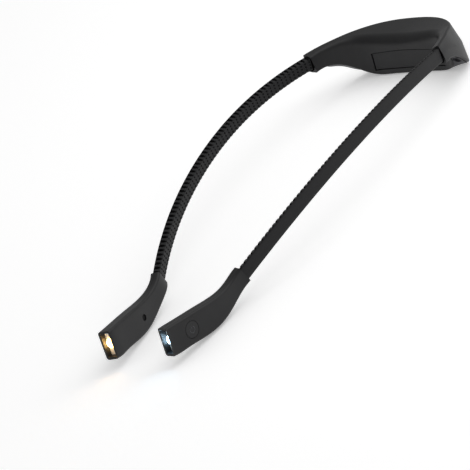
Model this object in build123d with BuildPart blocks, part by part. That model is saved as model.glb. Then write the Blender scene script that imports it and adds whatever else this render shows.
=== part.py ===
from build123d import *
import math
import os

# Neck reading light: a battery housing behind the neck, two bendable arms and two lamp heads.
# Millimetres. +Z is up as worn, +Y points to the wearer's back, -Y to the lamp heads, and
# left and right are the wearer's, so the left arm is at +X. The origin is on the ground under
# the middle of the housing's ring. The left half is drawn and the right half mirrors it.

os.makedirs("parts", exist_ok=True)

# Stance of the arms
neck_gap = 110.0
root_height = 29.4
arm_spread = 9.7
arm_rise = 10.85
bend_plane_tilt = 44.9
upper_bend_radius = 312.0
lower_bend_radius = 346.0

# Arm sleeve and core
slot_pitch = 3.84
slot_count = 60
slot_width = 1.8
slot_outer_skin = 1.0
slot_inner_skin = 0.8
slot_rib_depth = 1.5
sleeve_thick = 4.8
sleeve_outer_height = 10.4
sleeve_inner_height = 7.5
sleeve_corner = 0.9
core_radius = 1.25
core_clearance = 0.05
core_end_gap = 0.3
hinge_slots = [5, 15, 24, 34, 44, 54]
radius_change_hinge = 2

# Battery housing
ring_half_rear = 6.2
ring_half_mouth = 3.4
pod_reach = 19.0
mouth_height = 36.4
rear_height = 27.3
mouth_low = 22.4
mouth_slope = 2.0
wall_lean = 2.4
wall_bulge = 1.2
bulge_corner = 9.0
housing_wall = 1.6
housing_edge = 1.6
housing_inner_edge = 6.5
housing_low_edge = 1.1
cover_thick = 1.6
cover_clearance = 0.3
mouth_tuck = 4.5
mouth_clearance = 0.08

# Shares of the half ring at which the housing's sections stand, and at each of them the share
# of the rear's value, against the mouth's, for the inner reach, outer reach and top, the share
# of the mouth's value for the two lower edges, and the shares of the lean and the bulge
section_turn_shares = [0.0, 0.20, 0.36, 0.46, 0.56, 0.66, 0.76, 0.86, 0.93, 1.0]
inner_reach_shares = [1.0, 0.915, 0.69, 0.46, 0.235, 0.115, 0.055, 0.025, 0.01, 0.0]
outer_reach_shares = [1.0, 1.0, 1.0, 1.0, 0.92, 0.64, 0.32, 0.11, 0.04, 0.0]
top_shares = [1.0, 0.93, 0.82, 0.73, 0.60, 0.43, 0.29, 0.15, 0.07, 0.0]
inner_low_shares = [0.0, 0.0, 0.0, 0.01, 0.15, 0.47, 0.76, 0.93, 0.985, 1.0]
outer_low_shares = [0.0, 0.0, 0.0, 0.0, 0.06, 0.30, 0.63, 0.88, 0.97, 1.0]
lean_shares = [0.3, 0.2, 0.1, 0.2, 0.5, 0.95, 0.9, 0.75, 0.5, 0.2]
bulge_shares = [1.0, 1.0, 1.0, 1.0, 0.95, 0.75, 0.5, 0.35, 0.27, 0.2]
edge_radius_shares = [1.0, 1.0, 1.0, 0.95, 0.8, 0.56, 0.4, 0.23, 0.11, 0.0]
mouth_edge = 1.2
cavity_sections = 8

# Housing contents
cell_length = 46.0
cell_thick = 9.0
cell_height = 18.0
cell_front_gap = 0.4
cell_edge = 1.5
cell_rise = 0.3
board_length = 36.0
board_height = 20.0
board_thick = 1.2
board_gap = 0.4
panel_length = 60.0
panel_height = 12.4
panel_arch = 1.2
panel_thick = 1.2
panel_recess = 0.7
panel_low = 4.2
panel_gap = 0.2
panel_sections = 5
panel_corner = 2.5
boss_radius = 2.8
boss_spacing = 64.0
boss_back = 11.0
boss_top = 28.3
screw_radius = 1.0
screw_head_radius = 1.9
screw_head_height = 1.1
screw_head_sink = 1.1
screw_length = 7.0
screw_clearance = 0.05
anchor_length = 4.2
anchor_radius = 2.0
anchor_gap = 0.1
socket_width = 7.2
socket_height = 2.9
socket_depth = 6.0
socket_wall = 0.35
socket_corner = 0.9
socket_sink = 0.2
socket_clearance = 0.1
socket_turn_share = 0.69
socket_slope = 41.0
socket_twist = 20.0
socket_height_up = 9.6
tongue_width = 5.0
tongue_thick = 0.7
tongue_length = 4.8

# Lamp head
collar_length = 5.0
collar_bend_radius = 25.0
middle_inward = 3.4
middle_rise = -14.2
head_bend_radius = 79.0
head_inward = 8.2
head_rise = 9.8
head_straight = 33.0
head_thick = 9.2
head_height = 19.6
collar_thick = 7.0
collar_height = 12.6
head_edge = 1.8
cavity_edge = 0.5
head_wall = 1.4
head_size_shares = [0.0, 0.03, 0.34, 0.76, 0.98, 1.0, 1.0]
hollow_from = 2
seam_gap = 0.1
seam_overlap = 1.0
sleeve_tuck = 6.5

# Lamp and button
lamp_recess = 4.5
reflector_length = 6.0
part_clearance = 0.3
cup_front_radius = 2.9
cup_back_radius = 1.7
lens_radius = 3.0
lens_thick = 1.2
lens_crown = 0.9
emitter_side = 2.2
emitter_thick = 0.6
emitter_dome_radius = 0.8
lamp_board_thick = 1.0
lamp_board_gap = 0.4
button_from_front = 19.5
button_radius = 5.7
button_clearance = 0.08
button_flange = 0.9
button_flange_thick = 0.8
button_seat_gap = 0.3
button_skin = 1.0
button_rim = 1.0
button_travel = 0.4
button_stem_radius = 1.5
button_stem_reach = 1.6
switch_side = 5.0
switch_thick = 1.4
switch_plunger_height = 0.4
switch_clearance = 0.3
switch_board_length = 14.0
switch_board_height = 13.0
switch_board_thick = 1.0
board_post_radius = 1.2
board_post_spacing = 11.0
head_screw_from_front = 41.0
head_screw_recess_radius = 2.2
head_screw_recess_depth = 1.6
head_screw_length = 5.6
head_post_radius = 3.0

overrun = 3.0
housing_span = 300.0


def turned(vector, towards, angle):
    """The unit vector, turned by an angle in radians towards another one square to it."""
    return vector * math.cos(angle) + towards * math.sin(angle)


def swing(point, along, side, radius, travel):
    """Moves along an arc: the point, heading and inward side after that travel."""
    angle = travel / radius
    centre = point + side * radius
    new_side = turned(side, along * -1, angle)
    new_along = turned(along, side, angle)
    return centre - new_side * radius, new_along, new_side


def upright_plane(point, along):
    """A plane across a heading, its Y axis as upright as the heading lets it be."""
    up = Vector(0, 0, 1)
    square_up = (up - along * up.dot(along)).normalized()
    return Plane(origin=point, x_dir=square_up.cross(along), z_dir=along)


def heading_of(outward, rise):
    """The unit heading towards the front, turned outward and up by angles in degrees."""
    level = math.cos(math.radians(rise))
    return Vector(
        math.sin(math.radians(outward)) * level,
        -math.cos(math.radians(outward)) * level,
        math.sin(math.radians(rise)),
    )


# The arm's centre line: two arcs of one plane, which leans inward and down
ring_radius = neck_gap / 2 / math.cos(math.radians(arm_spread))
ring_half_angle = 90.0 - arm_spread
ring_centre = Vector(0, -ring_radius, 0)
arm_length = slot_pitch * slot_count
root_point = Vector(neck_gap / 2, -ring_radius * (1 - math.sin(math.radians(arm_spread))), root_height)
root_along = heading_of(arm_spread, arm_rise)
lean = Vector(-math.cos(math.radians(bend_plane_tilt)), 0, -math.sin(math.radians(bend_plane_tilt)))
root_side = (lean - root_along * lean.dot(root_along)).normalized()
bend_axis_direction = root_along.cross(root_side)
hinge_travels = [(slot + 0.5) * slot_pitch for slot in hinge_slots]
upper_length = hinge_travels[radius_change_hinge]


def arm_state(travel):
    """The arm's point, heading and inward side at a distance from its root."""
    if travel <= upper_length:
        return swing(root_point, root_along, root_side, upper_bend_radius, travel)
    middle = swing(root_point, root_along, root_side, upper_bend_radius, upper_length)
    return swing(*middle, lower_bend_radius, travel - upper_length)


def arm_radius(travel):
    """The bend radius of the arc that the arm follows from this distance on."""
    return upper_bend_radius if travel < upper_length else lower_bend_radius


def arm_plane(travel):
    """The plane across the arm: X outward from the neck, Y up, Z towards the head."""
    point, along, side = arm_state(travel)
    root_up = (Vector(0, 0, 1) - root_along * root_along.Z).normalized()
    across = bend_axis_direction * root_up.dot(bend_axis_direction)
    up = across + side * root_up.dot(root_side)
    return Plane(origin=point, x_dir=up.cross(along), z_dir=along)


def arm_axis(travel):
    """The axis about which the arm's section turns from this distance on."""
    point, along, side = arm_state(travel)
    return Axis(point + side * arm_radius(travel), bend_axis_direction)


def sleeve_corners(grow=0):
    """The sleeve's four-sided outline, tall on the outer side, grown by a clearance."""
    outer = sleeve_thick / 2 + grow
    tall = sleeve_outer_height / 2 + grow
    short = sleeve_inner_height / 2 + grow
    return [(outer, -tall), (outer, tall), (-outer, short), (-outer, -short)]


def rounded_outline(corners, radii):
    """Fills a closed outline with a radius at each corner in the open sketch."""
    with BuildLine() as outline:
        FilletPolyline(*corners, radius=radii, close=True)
    make_face(outline.edges())


sleeve_corners_radii = [sleeve_corner] * 4
made = {}


def finish(label, solid):
    """Names a finished piece and keeps it for its file."""
    solid.label = label
    made[label] = solid


# Sleeve lengths and core lengths between the places where the arm bends
ends = [-mouth_tuck] + hinge_travels + [arm_length + sleeve_tuck]
spans = list(zip(ends[:-1], ends[1:]))
for index, (start, stop) in enumerate(spans):
    first = index == 0
    last = index == len(spans) - 1
    sleeve_start = start if first else start + slot_width / 2
    sleeve_stop = stop if last else stop - slot_width / 2
    core_start = start - anchor_gap - anchor_length if first else start + core_end_gap
    core_stop = stop if last else stop - core_end_gap
    radius = arm_radius(start)
    slots = [(n + 0.5) * slot_pitch for n in range(slot_count)]
    slots = [s for s in slots if sleeve_start + slot_width < s < sleeve_stop - slot_width]
    rib_floor = sleeve_inner_height / 2 - slot_rib_depth
    slot_face = sleeve_thick / 2 - slot_outer_skin
    slot_reach = sleeve_thick - slot_outer_skin - slot_inner_skin

    with BuildPart() as sleeve:
        with BuildSketch(arm_plane(sleeve_start)):
            rounded_outline(sleeve_corners(), sleeve_corners_radii)
            Circle(core_radius + core_clearance, mode=Mode.SUBTRACT)
        revolve(
            axis=arm_axis(start),
            revolution_arc=math.degrees((sleeve_stop - sleeve_start) / radius),
        )
        cuts = []
        for travel in slots:
            cuts.append(arm_plane(travel).location * Location((slot_face, rib_floor, 0)))
        with Locations(*cuts):
            Box(
                slot_reach,
                sleeve_outer_height,
                slot_width,
                align=(Align.MAX, Align.MIN, Align.CENTER),
                mode=Mode.SUBTRACT,
            )
        cuts = []
        for travel in slots:
            cuts.append(arm_plane(travel).location * Location((slot_face, -rib_floor, 0)))
        with Locations(*cuts):
            Box(
                slot_reach,
                sleeve_outer_height,
                slot_width,
                align=(Align.MAX, Align.MAX, Align.CENTER),
                mode=Mode.SUBTRACT,
            )
    finish(f"left_sleeve_{index + 1}", sleeve.part)

    with BuildPart() as core:
        with BuildSketch(arm_plane(core_start)):
            Circle(core_radius)
        revolve(
            axis=arm_axis(start),
            revolution_arc=math.degrees((core_stop - core_start) / radius),
        )
    finish(f"left_core_{index + 1}", core.part)


# The battery housing: sections across the ring, from one mouth round the rear to the other
def blend(rear, mouth, share):
    """A value between the mouth's, at share 0, and the rear's, at share 1."""
    return mouth + (rear - mouth) * share


def housing_section(index, inset=0):
    """Corners of one section: X is the distance from the ring's centre, Y the height."""
    inner = ring_radius - blend(pod_reach, ring_half_mouth, inner_reach_shares[index]) + inset
    outer = ring_radius + blend(ring_half_rear, ring_half_mouth, outer_reach_shares[index]) - inset
    inner_low = mouth_low * inner_low_shares[index]
    outer_low = mouth_low * outer_low_shares[index]
    top = blend(rear_height, mouth_height, top_shares[index]) - inset
    crest = outer - wall_lean * lean_shares[index]
    belly = outer + wall_bulge * bulge_shares[index]
    slope = blend(0, mouth_slope, top_shares[index])
    return [
        (inner, inner_low),
        (outer, outer_low),
        (belly, (outer_low + top) / 2),
        (crest, top),
        (inner, top - slope),
    ]


def shifted(corners, rise):
    """The two lower corners of a section moved up by a distance, the others kept."""
    return [(x, z + rise) for x, z in corners[:2]] + corners[2:]


def section_plane(index, side):
    """The upright plane of one section, X away from the ring's centre and Y up."""
    angle = math.radians(ring_half_angle * section_turn_shares[index] * side)
    return Plane(
        origin=ring_centre,
        x_dir=(math.sin(angle), math.cos(angle), 0),
        z_dir=(math.cos(angle), -math.sin(angle), 0),
    )


def section_order(count):
    """Pairs of side and section number, from the right mouth to the left one."""
    right = [(-1, number) for number in range(count - 1, 0, -1)]
    left = [(1, number) for number in range(count)]
    return right + left


section_count = len(section_turn_shares)


def edge_radii(number, inset=0):
    """Corner radii of a section's outline, smaller on the inside of the wall."""
    share = edge_radius_shares[number]
    top_outer = blend(housing_edge, mouth_edge, share) - inset / 2
    top_inner = blend(housing_inner_edge, mouth_edge, share) - inset / 2
    low = housing_low_edge - inset / 2
    return [low, low, bulge_corner, top_outer, top_inner]


with BuildPart() as tunnel:
    with BuildSketch(arm_plane(-mouth_tuck)):
        rounded_outline(sleeve_corners(mouth_clearance), sleeve_corners_radii)
    revolve(axis=arm_axis(0), revolution_arc=math.degrees((mouth_tuck + overrun) / upper_bend_radius))
    with BuildSketch(arm_plane(-mouth_tuck - anchor_gap * 2 - anchor_length)):
        Circle(anchor_radius + core_clearance)
    revolve(
        axis=arm_axis(0),
        revolution_arc=math.degrees((anchor_gap * 2 + anchor_length) / upper_bend_radius),
    )

with BuildPart() as anchor:
    with BuildSketch(arm_plane(-mouth_tuck - anchor_gap - anchor_length)):
        Circle(anchor_radius)
        Circle(core_radius + core_clearance, mode=Mode.SUBTRACT)
    revolve(axis=arm_axis(0), revolution_arc=math.degrees(anchor_length / upper_bend_radius))
finish("left_arm_anchor", anchor.part)


def panel_outline(grow=0):
    """Fills the door's outline in the open sketch: slanted ends and an arched top."""
    wide = panel_length / 2 + grow
    narrow = wide - panel_corner
    low = panel_low - grow
    high = panel_low + panel_height + grow
    with BuildLine() as outline:
        Polyline((-narrow, high), (-wide, low), (wide, low), (narrow, high))
        ThreePointArc((narrow, high), (0, high + panel_arch), (-narrow, high))
    make_face(outline.edges())


with BuildPart() as shell:
    for side, number in section_order(section_count):
        with BuildSketch(section_plane(number, side)):
            rounded_outline(housing_section(number), edge_radii(number))
    loft()
    for side, number in section_order(cavity_sections):
        with BuildSketch(section_plane(number, side)):
            hollow = shifted(housing_section(number, housing_wall), -overrun)
            rounded_outline(hollow, edge_radii(number, housing_wall))
    loft(mode=Mode.SUBTRACT)
    split(bisect_by=Plane.XY, keep=Keep.TOP)
    boss_low = cover_thick + cover_clearance
    boss_spots = [(side * boss_spacing / 2, -boss_back, boss_low) for side in (1, -1)]
    with Locations(*boss_spots):
        Cylinder(boss_radius, boss_top - boss_low, align=(Align.CENTER, Align.CENTER, Align.MIN))
        Cylinder(
            screw_radius + screw_clearance,
            screw_length,
            align=(Align.CENTER, Align.CENTER, Align.MIN),
            mode=Mode.SUBTRACT,
        )
    add(tunnel.part, mode=Mode.SUBTRACT)
    mirror(tunnel.part, about=Plane.YZ, mode=Mode.SUBTRACT)
    with BuildSketch(Plane.XZ.offset(pod_reach / 2)):
        panel_outline(panel_gap)
    extrude(amount=pod_reach, mode=Mode.SUBTRACT)
finish("housing_shell", shell.part)

# The socket looks down and forward out of the slanted end of the pod
socket_angle = math.radians(ring_half_angle * socket_turn_share)
socket_fall = math.radians(socket_slope)
socket_normal = Vector(
    math.cos(socket_angle) * math.sin(socket_fall),
    -math.sin(socket_angle) * math.sin(socket_fall),
    -math.cos(socket_fall),
)
ring_turn = Vector(math.sin(socket_angle), math.cos(socket_angle), 0)
socket_down = ring_turn.cross(socket_normal)
socket_width_along = turned(socket_down, ring_turn, math.radians(socket_twist))
socket_spot = ring_centre + ring_turn * ring_radius + Vector(0, 0, socket_height_up)
socket_plane = Plane(origin=socket_spot, x_dir=socket_width_along, z_dir=socket_normal)

# The bottom cover closes the shell from below, flush with its rim
with BuildPart() as cover:
    for side, number in section_order(cavity_sections):
        low = housing_section(number, housing_wall + cover_clearance)[:2]
        high = [(x, z + cover_thick) for x, z in reversed(low)]
        with BuildSketch(section_plane(number, side)):
            Polygon(*low, *high, align=None)
    loft()
    split(bisect_by=Plane.XY, keep=Keep.TOP)
    for side in (1, -1):
        with BuildSketch(section_plane(cavity_sections - 1, side).offset(-side * cover_clearance)):
            Rectangle(housing_span, housing_span)
        extrude(amount=side * overrun, mode=Mode.SUBTRACT)
    with Locations(*[(x, y, 0) for x, y, z in boss_spots]):
        Cylinder(
            screw_radius + screw_clearance,
            cover_thick * 2,
            mode=Mode.SUBTRACT,
        )
        Cylinder(
            screw_head_radius + screw_clearance,
            screw_head_sink * 2,
            mode=Mode.SUBTRACT,
        )
    with BuildSketch(socket_plane.offset(overrun)):
        RectangleRounded(
            socket_width + socket_clearance * 2,
            socket_height + socket_clearance * 2,
            socket_corner + socket_clearance,
        )
    extrude(amount=-socket_depth - overrun, mode=Mode.SUBTRACT)
finish("bottom_cover", cover.part)

# Pan-head screws, their heads sunk in the cover and their shanks in the shell's posts
with BuildPart() as screws:
    with Locations(*[(x, y, 0) for x, y, z in boss_spots]):
        Cylinder(
            screw_head_radius,
            screw_head_sink - screw_clearance,
            align=(Align.CENTER, Align.CENTER, Align.MIN),
        )
        Cylinder(
            screw_radius,
            screw_length,
            align=(Align.CENTER, Align.CENTER, Align.MIN),
        )
finish("housing_screws", screws.part)

# The battery door: a slice of the neck-side wall, set back from its face
with BuildPart() as door:
    for side, number in section_order(panel_sections):
        inner = housing_section(number, panel_recess)[0][0]
        with BuildSketch(section_plane(number, side)):
            Polygon(
                (inner, 0),
                (inner + panel_thick, 0),
                (inner + panel_thick, rear_height),
                (inner, rear_height),
                align=None,
            )
    loft()
    with BuildSketch(Plane.XZ.offset(pod_reach / 2)):
        panel_outline()
    extrude(amount=pod_reach, mode=Mode.INTERSECT)
finish("battery_door", door.part)

with BuildPart() as cell:
    with BuildSketch(Plane.XZ.offset(pod_reach - housing_wall - cell_front_gap)):
        with Locations((0, cover_thick + cell_rise + cell_height / 2)):
            RectangleRounded(cell_length, cell_height, cell_edge)
    extrude(amount=-cell_thick)
finish("battery_cell", cell.part)

board_front = -pod_reach + housing_wall + cell_front_gap + cell_thick + board_gap
with BuildPart() as board:
    with Locations((0, board_front, cover_thick + cell_rise)):
        Box(
            board_length,
            board_thick,
            board_height,
            align=(Align.CENTER, Align.MIN, Align.MIN),
        )
finish("control_board", board.part)

with BuildPart() as socket:
    with BuildSketch(socket_plane.offset(-socket_sink)):
        RectangleRounded(socket_width, socket_height, socket_corner)
    extrude(amount=-socket_depth)
    with BuildSketch(socket_plane.offset(-socket_sink)):
        RectangleRounded(
            socket_width - socket_wall * 2,
            socket_height - socket_wall * 2,
            socket_corner - socket_wall,
        )
    extrude(amount=-socket_depth + socket_wall, mode=Mode.SUBTRACT)
finish("charging_socket", socket.part)

with BuildPart() as tongue:
    with BuildSketch(socket_plane.offset(-socket_sink - socket_depth + socket_wall)):
        Rectangle(tongue_width, tongue_thick)
    extrude(amount=tongue_length)
finish("socket_tongue", tongue.part)

# The lamp head: a collar in line with the arm, a short bend, a long one and a straight nose
collar_point, collar_along, _ = arm_state(arm_length)
middle_along = heading_of(-middle_inward, middle_rise)
head_along = heading_of(-head_inward, head_rise)
collar_arc = collar_bend_radius * math.acos(collar_along.dot(middle_along))
head_arc = head_bend_radius * math.acos(middle_along.dot(head_along))
bend_start = collar_length + collar_arc
nose_start = bend_start + head_arc
head_length = nose_start + head_straight
head_stations = [
    0,
    bend_start,
    bend_start + head_arc / 3,
    bend_start + head_arc * 2 / 3,
    nose_start,
    nose_start + head_straight / 2,
    head_length,
]
hollow_stations = head_stations[hollow_from:-1] + [head_length + overrun]


def turning_side(along, towards):
    """The unit direction square to a heading in which it turns towards another one."""
    return (towards - along * along.dot(towards)).normalized()


def head_plane(travel):
    """The plane across the head at a distance from the collar's end: X outward, Y up."""
    point = collar_point + collar_along * min(travel, collar_length)
    in_collar = min(max(travel - collar_length, 0), collar_arc)
    in_head = min(max(travel - bend_start, 0), head_arc)
    in_nose = max(travel - nose_start, 0)
    side = turning_side(collar_along, middle_along)
    point, along, side = swing(point, collar_along, side, collar_bend_radius, in_collar)
    side = turning_side(middle_along, head_along)
    point, along, side = swing(point, along, side, head_bend_radius, in_head)
    return upright_plane(point + along * in_nose, along)


def head_half_thick(travel):
    """Half of the head's thickness at a distance from the collar's end."""
    for number in range(len(head_stations) - 1):
        near, far = head_stations[number:number + 2]
        if travel <= far:
            share = (travel - near) / (far - near)
            grown = blend(head_size_shares[number + 1], head_size_shares[number], share)
            return blend(head_thick, collar_thick, grown) / 2
    return head_thick / 2


def half_section(number, side, inner_x, inset=0):
    """Corners of one half's section from the seam out to its face."""
    face = side * (blend(head_thick, collar_thick, head_size_shares[number]) / 2 - inset)
    tall = blend(head_height, collar_height, head_size_shares[number]) / 2 - inset
    return [(side * inner_x, -tall), (face, -tall), (face, tall), (side * inner_x, tall)]


with BuildPart() as collar_tunnel:
    with BuildSketch(arm_plane(arm_length - overrun)):
        rounded_outline(sleeve_corners(mouth_clearance), sleeve_corners_radii)
    revolve(
        axis=arm_axis(arm_length),
        revolution_arc=math.degrees((overrun + sleeve_tuck) / lower_bend_radius),
    )

# Planes for the button, whose Z looks outward, and for the screw, whose Z looks outward too
button_across = head_plane(head_length - button_from_front)
button_plane = Plane(
    origin=button_across.origin, x_dir=button_across.z_dir, z_dir=button_across.x_dir
)
button_face = head_half_thick(head_length - button_from_front)
screw_across = head_plane(head_length - head_screw_from_front)
screw_plane = Plane(origin=screw_across.origin, x_dir=screw_across.z_dir, z_dir=screw_across.x_dir)
screw_face = head_half_thick(head_length - head_screw_from_front)
screw_seat = -screw_face + head_screw_recess_depth
wall_inside = button_face - head_wall
flange_top = wall_inside - button_seat_gap
switch_top = button_stem_reach - button_travel - switch_clearance
switch_low = switch_top - switch_thick
post_spots = [(-board_post_spacing / 2, 0), (board_post_spacing / 2, 0)]

for side, label in ((1, "left_head_outer_half"), (-1, "left_head_inner_half")):
    with BuildPart() as half:
        for number, travel in enumerate(head_stations):
            with BuildSketch(head_plane(travel)):
                rounded_outline(
                    half_section(number, side, seam_gap / 2),
                    [0, head_edge, head_edge, 0],
                )
        loft()
        for number, travel in enumerate(hollow_stations, hollow_from):
            with BuildSketch(head_plane(travel)):
                rounded_outline(
                    half_section(number, side, -seam_overlap, head_wall),
                    [0, cavity_edge, cavity_edge, 0],
                )
        loft(mode=Mode.SUBTRACT)
        post_reach = screw_face - head_wall / 2 - seam_gap / 2
        with BuildSketch(screw_plane.offset(side * seam_gap / 2)):
            Circle(head_post_radius)
        extrude(amount=side * post_reach)
        if side > 0:
            with BuildSketch(button_plane.offset(wall_inside - head_wall)):
                Circle(button_radius + button_clearance)
            extrude(amount=head_wall * 2 + overrun, mode=Mode.SUBTRACT)
        else:
            with BuildSketch(button_plane.offset(-button_face + head_wall / 2)):
                with Locations(*post_spots):
                    Circle(board_post_radius)
            extrude(amount=switch_low - switch_board_thick + button_face - head_wall / 2)
            with BuildSketch(screw_plane.offset(screw_seat)):
                Circle(head_screw_recess_radius)
            extrude(amount=-head_screw_recess_depth - overrun, mode=Mode.SUBTRACT)
        with BuildSketch(screw_plane.offset(screw_seat - screw_clearance)):
            Circle(screw_radius + screw_clearance)
        extrude(amount=head_screw_length + screw_clearance * 2, mode=Mode.SUBTRACT)
        add(collar_tunnel.part, mode=Mode.SUBTRACT)
    finish(label, half.part)

with BuildPart() as head_screw:
    with BuildSketch(screw_plane.offset(screw_seat)):
        Circle(screw_head_radius)
    extrude(amount=-screw_head_height)
    with BuildSketch(screw_plane.offset(screw_seat)):
        Circle(screw_radius)
    extrude(amount=head_screw_length)
finish("left_head_screw", head_screw.part)

with BuildPart() as button:
    with BuildSketch(button_plane.offset(flange_top - button_flange_thick)):
        Circle(button_radius)
    extrude(amount=button_face - flange_top + button_flange_thick)
    with BuildSketch(button_plane.offset(flange_top)):
        Circle(button_radius + button_flange)
    extrude(amount=-button_flange_thick)
    with BuildSketch(button_plane.offset(flange_top - button_flange_thick)):
        Circle(button_radius - button_rim)
    extrude(
        amount=button_face - flange_top + button_flange_thick - button_skin,
        mode=Mode.SUBTRACT,
    )
    with BuildSketch(button_plane.offset(button_stem_reach)):
        Circle(button_stem_radius)
    extrude(amount=button_face - button_skin / 2 - button_stem_reach)
finish("left_button", button.part)

with BuildPart() as switch_board:
    with BuildSketch(button_plane.offset(switch_low)):
        Rectangle(switch_board_length, switch_board_height)
    extrude(amount=-switch_board_thick)
finish("left_switch_board", switch_board.part)

with BuildPart() as dome_switch:
    with BuildSketch(button_plane.offset(switch_low)):
        Rectangle(switch_side, switch_side)
    extrude(amount=switch_thick - switch_plunger_height)
    with BuildSketch(button_plane.offset(switch_low)):
        Circle(switch_side / 4)
    extrude(amount=switch_thick)
finish("left_dome_switch", dome_switch.part)

# The lamp in the open front, measured back from the nose's end plane
front = head_plane(head_length)
block_width = head_thick - (head_wall + part_clearance) * 2
block_height = head_height - (head_wall + part_clearance) * 2
cup_back = lamp_recess + reflector_length

with BuildPart() as reflector:
    with BuildSketch(front.offset(-lamp_recess)):
        RectangleRounded(block_width, block_height, cavity_edge)
    extrude(amount=-reflector_length)
    with Locations(front.offset(-lamp_recess).location):
        Cone(
            cup_back_radius,
            cup_front_radius,
            reflector_length,
            align=(Align.CENTER, Align.CENTER, Align.MAX),
            mode=Mode.SUBTRACT,
        )
finish("left_reflector", reflector.part)

crown_radius = (lens_radius ** 2 + lens_crown ** 2) / (2 * lens_crown)
with BuildPart() as lens:
    with BuildSketch(front.offset(-lamp_recess)):
        Circle(lens_radius)
    extrude(amount=lens_thick + lens_crown)
    with Locations(front.offset(lens_thick + lens_crown - crown_radius - lamp_recess).location):
        Sphere(crown_radius, mode=Mode.INTERSECT)
finish("left_lens", lens.part)

with BuildPart() as lamp_board:
    with BuildSketch(front.offset(-cup_back)):
        Rectangle(block_width - lamp_board_gap * 2, block_height - lamp_board_gap * 2)
    extrude(amount=-lamp_board_thick)
finish("left_lamp_board", lamp_board.part)

with BuildPart() as emitter:
    with BuildSketch(front.offset(-cup_back)):
        Rectangle(emitter_side, emitter_side)
    extrude(amount=emitter_thick)
    with Locations(front.offset(emitter_thick - cup_back).location):
        Sphere(emitter_dome_radius)
    split(bisect_by=front.offset(-cup_back), keep=Keep.TOP)
finish("left_emitter", emitter.part)

for label, piece in list(made.items()):
    if label.startswith("left_"):
        with BuildPart() as twin:
            mirror(piece, about=Plane.YZ)
        finish(label.replace("left_", "right_", 1), twin.part)

for label, piece in made.items():
    export_step(piece, f"parts/{label}.step")
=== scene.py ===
"""Neck reading light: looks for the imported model, in metres, in the model's own frame.

+Z is up, +Y is to the wearer's back, -Y to the lamp heads, and +X is the wearer's left.
Shapes are worked out in millimetres and turned to metres when they become a mesh. A finish's
colours are sRGB hex values, and each of its _mm fields is a size on the real surface.
"""

import logging
import math
from collections.abc import Callable
from dataclasses import dataclass
from enum import Enum

import bmesh
import bpy
import numpy as np
from mathutils import Matrix


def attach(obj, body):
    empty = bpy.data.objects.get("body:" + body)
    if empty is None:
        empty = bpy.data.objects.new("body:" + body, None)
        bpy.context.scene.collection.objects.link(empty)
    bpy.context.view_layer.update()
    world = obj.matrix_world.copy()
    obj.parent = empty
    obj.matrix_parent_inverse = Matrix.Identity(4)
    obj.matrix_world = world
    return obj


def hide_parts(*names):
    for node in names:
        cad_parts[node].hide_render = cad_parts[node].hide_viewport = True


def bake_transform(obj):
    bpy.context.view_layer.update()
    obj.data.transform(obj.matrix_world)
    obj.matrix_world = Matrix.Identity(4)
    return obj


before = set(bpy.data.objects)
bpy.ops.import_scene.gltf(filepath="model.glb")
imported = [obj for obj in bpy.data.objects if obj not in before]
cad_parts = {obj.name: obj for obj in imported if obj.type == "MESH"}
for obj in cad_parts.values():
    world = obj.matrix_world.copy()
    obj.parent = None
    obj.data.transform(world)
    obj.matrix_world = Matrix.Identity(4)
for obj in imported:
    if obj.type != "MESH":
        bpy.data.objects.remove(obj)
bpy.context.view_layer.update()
LOG = logging.getLogger("neck_light")
MM = 0.001
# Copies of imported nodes: vertices this near are one, and edges that turn by more stay sharp
WELD_MM = 0.002
COPY_CREASE = 30.0


class Side(Enum):
    """Which half of the light a piece belongs to, as the wearer sees it."""

    LEFT = "left"
    RIGHT = "right"

    @property
    def sign(self) -> float:
        """Gives +1 for the left half, which is drawn, and -1 for its mirror image."""
        return 1.0 if self is Side.LEFT else -1.0


class Glow(Enum):
    """The two colours of light that the lamp heads are set to: sRGB and strength."""

    WARM = ("#FFC877", 14.0)
    COOL = ("#BFE4FF", 14.0)


def linear(colour: str) -> tuple[float, float, float, float]:
    """Turns an sRGB hex colour into linear values.

    Args:
        colour: the colour as "#RRGGBB".

    Returns:
        Linear red, green, blue and an alpha of 1.
    """
    part = np.array([int(colour[i:i + 2], 16) for i in (1, 3, 5)]) / 255.0
    part = np.where(part <= 0.04045, part / 12.92, ((part + 0.055) / 1.055) ** 2.4)
    return (float(part[0]), float(part[1]), float(part[2]), 1.0)


def add_node(
    tree: bpy.types.NodeTree,
    kind: str,
    sockets: dict[int | str, object] | None = None,
    **settings: object,
) -> bpy.types.Node:
    """Adds one node with its settings and links.

    Args:
        tree: the material's node tree.
        kind: the node's type.
        sockets: for each input, by name or number, a value or the output that feeds it.
        settings: the node's own properties.

    Returns:
        The new node.
    """
    node = tree.nodes.new(kind)
    for name, value in settings.items():
        setattr(node, name, value)
    for name, value in (sockets or {}).items():
        if isinstance(value, bpy.types.NodeSocket):
            tree.links.new(value, node.inputs[name])
        else:
            node.inputs[name].default_value = value
    return node


def blank(
    name: str, **constant: object
) -> tuple[bpy.types.Material, bpy.types.NodeTree, bpy.types.Node]:
    """Starts a material whose shader has these constant values on its own sockets.

    Args:
        name: what the material is.
        constant: shader inputs, with underscores for the spaces in their names.

    Returns:
        The material, its node tree and its shader.
    """
    material = bpy.data.materials.new(name)
    material.use_nodes = True
    tree = material.node_tree
    tree.nodes.clear()
    sockets = {key.replace("_", " "): value for key, value in constant.items()}
    shader = add_node(tree, "ShaderNodeBsdfPrincipled", sockets)
    add_node(tree, "ShaderNodeOutputMaterial", {"Surface": shader.outputs["BSDF"]})
    return material, tree, shader


def per_metre(size_mm: float) -> float:
    """Gives the texture scale at which one feature of a pattern is this many millimetres."""
    return 1.0 / (size_mm * MM)


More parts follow.
